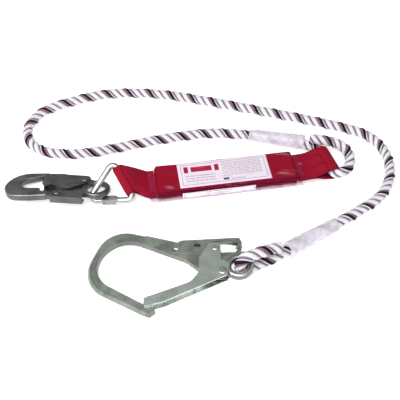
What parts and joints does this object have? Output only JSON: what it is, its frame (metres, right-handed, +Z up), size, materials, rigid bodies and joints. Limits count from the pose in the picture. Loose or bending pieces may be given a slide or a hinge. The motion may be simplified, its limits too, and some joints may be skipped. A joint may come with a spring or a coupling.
{
  "type": "shock absorbing lanyard",
  "caption": "Fall-arrest lanyard: small snap hook on a quick link, film-wrapped tear-webbing absorber, three-strand rope with spliced eyes and a large scaffold hook, laid out flat.",
  "frame": {"origin": "on the ground plane, under the middle of the hooks, link and absorber taken together without the rope", "axes": "+X along the lanyard from the snap hook to the absorber's rope end, +Y from the scaffold hook towards the absorber, +Z up off the ground"},
  "size_m": [0.4941, 0.3719, 0.0394],
  "materials": {
    "zinc_steel": "bright zinc plate, slightly green grey",
    "zinc_rivet": "bright zinc plate",
    "zinc_link": "bright zinc plate",
    "dark_steel": "dark plated, satin",
    "spring_steel": "drawn spring wire",
    "clear_film": "clear shrunk film, glossy",
    "red_webbing": "woven polyester webbing",
    "label_print": null,
    "tack_thread": "bar-tacked thread",
    "rope_fibre": "white laid rope with a dark tracer yarn",
    "shrink_plastic": "clear shrunk tube, milky"
  },
  "bodies": {
    "lanyard": {"film_sleeve": "clear_film", "tear_webbing_stack": "red_webbing", "rating_label": "label_print", "edge_label": "label_print", "hook_end_loop": "red_webbing", "rope_end_loop": "red_webbing", "hook_end_tack": "tack_thread", "rope_end_tack": "tack_thread", "rope": "rope_fibre", "splice_absorber_eye": "rope_fibre", "splice_hook_eye": "rope_fibre", "shrink_sleeve_absorber_eye": "shrink_plastic", "shrink_sleeve_hook_eye": "shrink_plastic"},
    "quick_link": {"link_wire": "zinc_link"},
    "link_sleeve": {"link_screw_sleeve": "zinc_link"},
    "snap_hook": {"snap_hook_body": "dark_steel", "snap_gate_rivet": "dark_steel", "snap_lever_rivet": "dark_steel", "snap_gate_spring": "spring_steel", "snap_lever_spring": "spring_steel"},
    "snap_hook_gate": {"snap_gate": "dark_steel"},
    "snap_hook_lever": {"snap_lock_lever": "dark_steel"},
    "scaffold_hook": {"scaffold_hook_body": "zinc_steel", "scaffold_gate_rivet": "zinc_rivet", "scaffold_lever_rivet": "zinc_rivet", "scaffold_gate_spring": "spring_steel", "scaffold_lever_spring": "spring_steel"},
    "scaffold_hook_gate": {"scaffold_gate": "zinc_steel", "scaffold_lock_pin": "zinc_rivet"},
    "scaffold_hook_lever": {"scaffold_lock_lever": "zinc_steel"}
  },
  "joints": [
    {"name": "scaffold_swing", "type": "hinge", "parent": "lanyard", "child": "scaffold_hook", "pos_m": [0.0758, -0.0643, 0.019], "axis": [-0.0854, 0, 0.9963], "range_deg": [-10, 75]},
    {"name": "scaffold_gate_open", "type": "hinge", "parent": "scaffold_hook", "child": "scaffold_hook_gate", "pos_m": [0.05757, -0.0722, 0.01744], "axis": [-0.0854, 0, 0.9963], "range_deg": [-30, 0], "stiffness_Nm_per_rad": 0.15, "springref_deg": 11.46},
    {"name": "scaffold_lever_squeeze", "type": "hinge", "parent": "scaffold_hook", "child": "scaffold_hook_lever", "pos_m": [0.00536, -0.036, 0.01296], "axis": [-0.0854, 0, 0.9963], "range_deg": [-4.69, 0]},
    {"name": "link_swing", "type": "hinge", "parent": "lanyard", "child": "quick_link", "pos_m": [-0.0622, 0.0632, 0.021], "axis": [0.4985, -0.7231, -0.4782], "range_deg": [-75, 30]},
    {"name": "link_sleeve_unscrew", "type": "slide", "parent": "quick_link", "child": "link_sleeve", "axis": [0.9996, 0.0063, 0.0262], "range_m": [0, 0.0098]},
    {"name": "snap_swing", "type": "hinge", "parent": "quick_link", "child": "snap_hook", "pos_m": [-0.0967, 0.0542, 0.0142], "axis": [0, 0.2924, 0.9563], "range_deg": [-30, 30]},
    {"name": "snap_gate_open", "type": "hinge", "parent": "snap_hook", "child": "snap_hook_gate", "pos_m": [-0.1123, 0.06788, 0.01002], "axis": [0, 0.2924, 0.9563], "range_deg": [0, 20], "stiffness_Nm_per_rad": 0.05, "springref_deg": -17.19},
    {"name": "snap_lever_squeeze", "type": "hinge", "parent": "snap_hook", "child": "snap_hook_lever", "pos_m": [-0.1426, 0.04129, 0.01815], "axis": [0, 0.2924, 0.9563], "range_deg": [0, 8]}
  ],
  "couplings": [
    {"joint": "scaffold_lever_squeeze", "follows": "scaffold_gate_open", "ratio": 0.15625},
    {"joint": "snap_lever_squeeze", "follows": "snap_gate_open", "ratio": 0.4}
  ]
}
